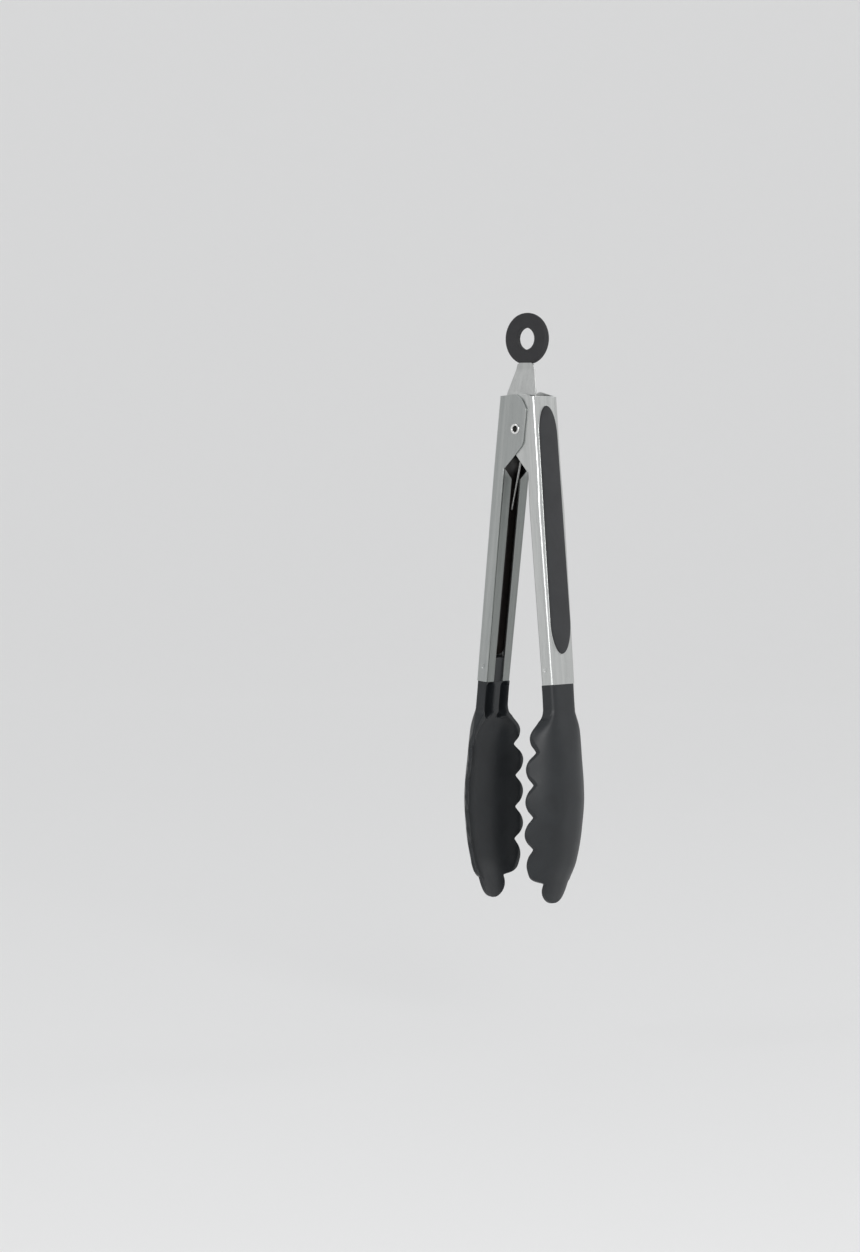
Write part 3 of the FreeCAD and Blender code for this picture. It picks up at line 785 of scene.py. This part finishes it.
# The bowl's polished inside: its colour painted darker than the outside's and its specular level
# lowered, painted shade on the same nylon.
NYLON_GLOSS_AND_SHADE = moulded("nylon_gloss_and_shade", (0.004, 0.0043, 0.0046), (0.007, 0.0075, 0.008),
                      (0.17, 0.26), grain=0.6, grain_depth=0.000006, marks=0.08)
NYLON_GLOSS_AND_SHADE.node_tree.nodes["Principled BSDF"].inputs["Specular IOR Level"].default_value = 0.3
for arm, side in ARMS:
    head = make_head(arm + "_head_moulding", side)
    give(head, NYLON_SATIN, NYLON_GLOSS_AND_SHADE)
    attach(head, arm + "_arm")
    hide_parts(arm + "_head")

# ---------------------------------------------------------------------------
# Hinge rivet and sleeve
# A stainless tube through all four ears, its ends rolled over into a rim on each
# side. Between the inner ears it carries a plain spacer tube.
# ---------------------------------------------------------------------------

RIVET_SIDES = 48
RIVET_BORE, RIVET_BODY, RIVET_RIM = 1.3, 2.1, 2.5
EAR_FACE = 10.05                          # outer face of the outer ears, from the middle plane
# radius, and distance past the ear's face, from the bore's edge over the roll to its foot
RIVET_ROLL = ((RIVET_BORE, -0.6), (RIVET_BORE + 0.02, -0.05), (1.42, 0.34), (1.66, 0.54),
              (1.98, 0.6), (2.28, 0.5), (2.45, 0.28), (RIVET_RIM, 0.1), (2.43, 0.01),
              (RIVET_BODY + 0.1, 0.0), (RIVET_BODY, -0.1), (RIVET_BODY, -0.6))


def spin_y(bm, profile, sides):
    """Spin a closed profile of (radius, y) in mm round the hinge pin."""
    rings = []
    for k in range(sides):
        turn = tau * k / sides
        rings.append([bm.verts.new(PIN + Vector((r * cos(turn), y, r * sin(turn))) * MM)
                      for r, y in profile])
    join_loops(bm, rings + rings[:1])


rivet_mesh = bmesh.new()
near_half = [(r, -(EAR_FACE + past)) for r, past in RIVET_ROLL]
far_half = [(r, EAR_FACE + past) for r, past in reversed(RIVET_ROLL)]
spin_y(rivet_mesh, near_half + far_half, RIVET_SIDES)
rivet = finish_mesh("rolled_rivet", rivet_mesh)
RIVET_STEEL = brushed_steel("rivet_steel", (0.80, 0.80, 0.79), (0.90, 0.90, 0.89), (0.16, 0.26),
                            edge=0.1)
give(rivet, RIVET_STEEL)
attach(rivet, "hinge")
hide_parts("hinge_rivet")
give(nodes["hinge_sleeve"], RIVET_STEEL)

# ---------------------------------------------------------------------------
# Torsion spring
# Four turns of hard drawn wire round the sleeve. Each end runs straight down into
# an arm's channel and bears on the plate behind its grip, so the arms spring open.
# ---------------------------------------------------------------------------

WIRE_R = 0.55
COIL_R = 3.3
COIL_TURNS = 4
COIL_NEAR, COIL_FAR = -2.6, 2.6           # from the middle plane
LEG_FOOT = (7.6, -38.0)                   # in an arm's own frame
STEPS_PER_TURN = 40
LEG_STEPS = 24

foot = arm_point(1, LEG_FOOT[0], 0.0, LEG_FOOT[1]) - PIN
coil_start = atan2(foot.z, foot.x) + acos(COIL_R * MM / hypot(foot.x, foot.z))
coil_sweep = pi - 2 * coil_start + tau * COIL_TURNS
steps = int(coil_sweep / tau * STEPS_PER_TURN)
coil_path = []
for i in range(steps + 1):
    turn = coil_start + coil_sweep * i / steps
    y = COIL_NEAR + (COIL_FAR - COIL_NEAR) * i / steps
    coil_path.append(PIN + Vector((COIL_R * cos(turn), y, COIL_R * sin(turn))) * MM)
coil_mesh = bmesh.new()
sweep(coil_mesh, coil_path, WIRE_R * MM, sides=16)
coil = finish_mesh("spring_coil", coil_mesh)
SPRING_WIRE = brushed_steel("spring_wire", (0.50, 0.50, 0.49), (0.66, 0.66, 0.65), (0.2, 0.3),
                            line_width=0.12, edge=0.05)
give(coil, SPRING_WIRE)
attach(coil, "hinge")
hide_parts("torsion_spring")

for arm, side in ARMS:
    root = coil_path[0] if side > 0 else coil_path[-1]
    tip = Vector((side * foot.x + PIN.x, root.y, foot.z + PIN.z))
    leg_mesh = bmesh.new()
    leg_path = [root.lerp(tip, i / LEG_STEPS) for i in range(LEG_STEPS + 1)]
    sweep(leg_mesh, leg_path, WIRE_R * MM, sides=16)
    leg = finish_mesh(arm + "_spring_leg", leg_mesh, levels=0)
    give(leg, SPRING_WIRE)
    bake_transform(leg)

# ---------------------------------------------------------------------------
# Pull tab
# A blanked strap of the same sheet, slotted over the sleeve and cranked at its
# neck. Pulling it out by the ring wedges its wide end between the arms.
# ---------------------------------------------------------------------------

TAB_STEEL = brushed_steel("tab_steel", (0.48, 0.49, 0.485), (0.62, 0.63, 0.62), (0.24, 0.38))
give(nodes["pull_tab"], TAB_STEEL)

# ---------------------------------------------------------------------------
# Hang ring
# Matte black plastic moulded round the end of the tab, with soft edges, a flat
# where the tab goes in, and the mould's parting line round its outside.
# ---------------------------------------------------------------------------

RING_HOLE, RING_OUTER, RING_HALF = 5.0, 11.8, 1.7
RING_FLAT = 11.2
RING_STEPS = 96
PARTING_LINE = 0.07


def ring_section(outer):
    """Closed section of the ring as (radius, across): a rounded block with a parting line."""
    def corner(r, y, radius, first):
        return [(r + radius * cos(first + pi / 2 * i / 4), y + radius * sin(first + pi / 2 * i / 4))
                for i in range(5)]
    hole_round, rim_round = 0.55, 1.1
    rim = outer - PARTING_LINE
    section = corner(rim - rim_round, RING_HALF - rim_round, rim_round, 0.0)
    section += [(rim - 2.4, RING_HALF), (RING_HOLE + 1.5, RING_HALF)]
    section += corner(RING_HOLE + hole_round, RING_HALF - hole_round, hole_round, pi / 2)
    section += [(RING_HOLE, 0.0)]
    section += corner(RING_HOLE + hole_round, hole_round - RING_HALF, hole_round, pi)
    section += [(RING_HOLE + 1.5, -RING_HALF), (rim - 2.4, -RING_HALF)]
    section += corner(rim - rim_round, rim_round - RING_HALF, rim_round, -pi / 2)
    section += [(rim, -0.16), (outer, 0.0), (rim, 0.16)]
    return section


ring_mesh = bmesh.new()
ring_loops = []
for k in range(RING_STEPS):
    turn = tau * k / RING_STEPS
    outer = RING_OUTER
    if sin(turn) < -0.5:
        outer = min(RING_OUTER, RING_FLAT / -sin(turn))
    ring_loops.append([ring_mesh.verts.new(Vector((r * cos(turn), y, r * sin(turn))) * MM)
                       for r, y in ring_section(outer)])
join_loops(ring_mesh, ring_loops + ring_loops[:1])
ring = finish_mesh("hang_ring_moulding", ring_mesh)
RING_PLASTIC = moulded("ring_plastic", (0.017, 0.017, 0.019), (0.027, 0.027, 0.029), (0.62, 0.74),
                       grain=0.3, grain_depth=0.00004)
give(ring, RING_PLASTIC)
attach(ring, "pull_tab")
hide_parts("hang_ring")

# ---------------------------------------------------------------------------
# Studio
# The tongs hang in a round white cove: a pale floor that sweeps up into a pale
# wall, under an open sky of soft light, with three large soft boxes.
# ---------------------------------------------------------------------------

FLOOR_DROP = 0.07                         # floor below the heads' tips, in metres
COVE_FLAT, COVE_SWEEP, COVE_TOP = 2.2, 1.0, 2.6
COVE_SIDES, SWEEP_STEPS = 96, 12
lowest = cad_box[0][2]
cove_mesh = bmesh.new()
cove_rows = [(0.02, 0.0), (0.5, 0.0), (COVE_FLAT, 0.0)]
for i in range(1, SWEEP_STEPS + 1):
    bend = pi / 2 * i / SWEEP_STEPS
    cove_rows.append((COVE_FLAT + COVE_SWEEP * sin(bend), COVE_SWEEP * (1 - cos(bend))))
cove_rows.append((COVE_FLAT + COVE_SWEEP, COVE_TOP))
cove_loops = []
for reach, rise in cove_rows:
    level = lowest - FLOOR_DROP + rise
    turns = [tau * k / COVE_SIDES for k in range(COVE_SIDES)]
    cove_loops.append([cove_mesh.verts.new((reach * cos(turn), reach * sin(turn), level))
                       for turn in turns])
join_loops(cove_mesh, cove_loops)
cove_mesh.faces.new(cove_loops[0])
cove = finish_mesh("studio_cove", cove_mesh, levels=0)
cove_paint, _, cove_shader = new_material("cove_paint")
cove_shader.inputs["Base Color"].default_value = (0.5, 0.5, 0.5, 1.0)
cove_shader.inputs["Emission Color"].default_value = (1.0, 1.0, 1.0, 1.0)
cove_shader.inputs["Emission Strength"].default_value = 0.35
cove_shader.inputs["Roughness"].default_value = 0.9
give(cove, cove_paint)

sky = bpy.data.worlds.new("studio_sky")
sky.use_nodes = True
sky.node_tree.nodes["Background"].inputs["Color"].default_value = (0.96, 0.98, 1.0, 1.0)
sky.node_tree.nodes["Background"].inputs["Strength"].default_value = 0.52
bpy.context.scene.world = sky
bpy.context.scene.view_settings.view_transform = "Standard"

VIEW_AZIMUTH = radians(37.42)
VIEW_ELEVATION = radians(-0.04)
VIEW_ROLL = radians(0.68)
VIEW_DISTANCE = 1.7
VIEW_LENS = 107.05
VIEW_ASIDE, VIEW_BELOW = 0.02651, 0.05289     # where the lens points, from the pin, as slopes

forward = Vector((-sin(VIEW_AZIMUTH) * cos(VIEW_ELEVATION),
                  cos(VIEW_AZIMUTH) * cos(VIEW_ELEVATION), -sin(VIEW_ELEVATION)))
level_right = Vector((cos(VIEW_AZIMUTH), sin(VIEW_AZIMUTH), 0.0))
level_up = level_right.cross(forward)
right = level_right * cos(VIEW_ROLL) + level_up * sin(VIEW_ROLL)
up = level_up * cos(VIEW_ROLL) - level_right * sin(VIEW_ROLL)


def soft_box(name, azimuth, elevation, distance, size, power):
    """Square soft light aimed at the middle of the tongs, unseen by the camera."""
    light = bpy.data.lights.new(name, "AREA")
    light.size = size
    light.energy = power
    made = bpy.data.objects.new(name, light)
    away = Vector((sin(azimuth) * cos(elevation), -cos(azimuth) * cos(elevation), sin(elevation)))
    middle = Vector((0.0, 0.0, (lowest + cad_box[1][2]) / 2))
    made.location = middle + away * distance
    made.rotation_mode = "QUATERNION"
    made.rotation_quaternion = away.to_track_quat("Z", "Y")
    made.visible_camera = False
    bpy.context.scene.collection.objects.link(made)


soft_box("key_box", radians(54), radians(16), 1.4, 0.5, 5.5)
soft_box("left_box", radians(-20), radians(40), 1.5, 0.4, 1.6)
soft_box("rim_box", radians(150), radians(30), 1.5, 0.6, 1.6)

camera_data = bpy.data.cameras.new("studio_camera")
camera_data.sensor_width = 36.0
camera_data.lens = VIEW_LENS
camera_data.clip_start, camera_data.clip_end = 0.05, 20.0
camera = bpy.data.objects.new("studio_camera", camera_data)
bpy.context.scene.collection.objects.link(camera)
aim = (forward - right * VIEW_ASIDE - up * VIEW_BELOW).normalized()
across = (right - aim * right.dot(aim)).normalized()
above = across.cross(aim)
turned = Matrix((across, above, -aim)).transposed()
camera.matrix_world = Matrix.Translation(PIN - forward * VIEW_DISTANCE) @ turned.to_4x4()
bpy.context.scene.camera = camera
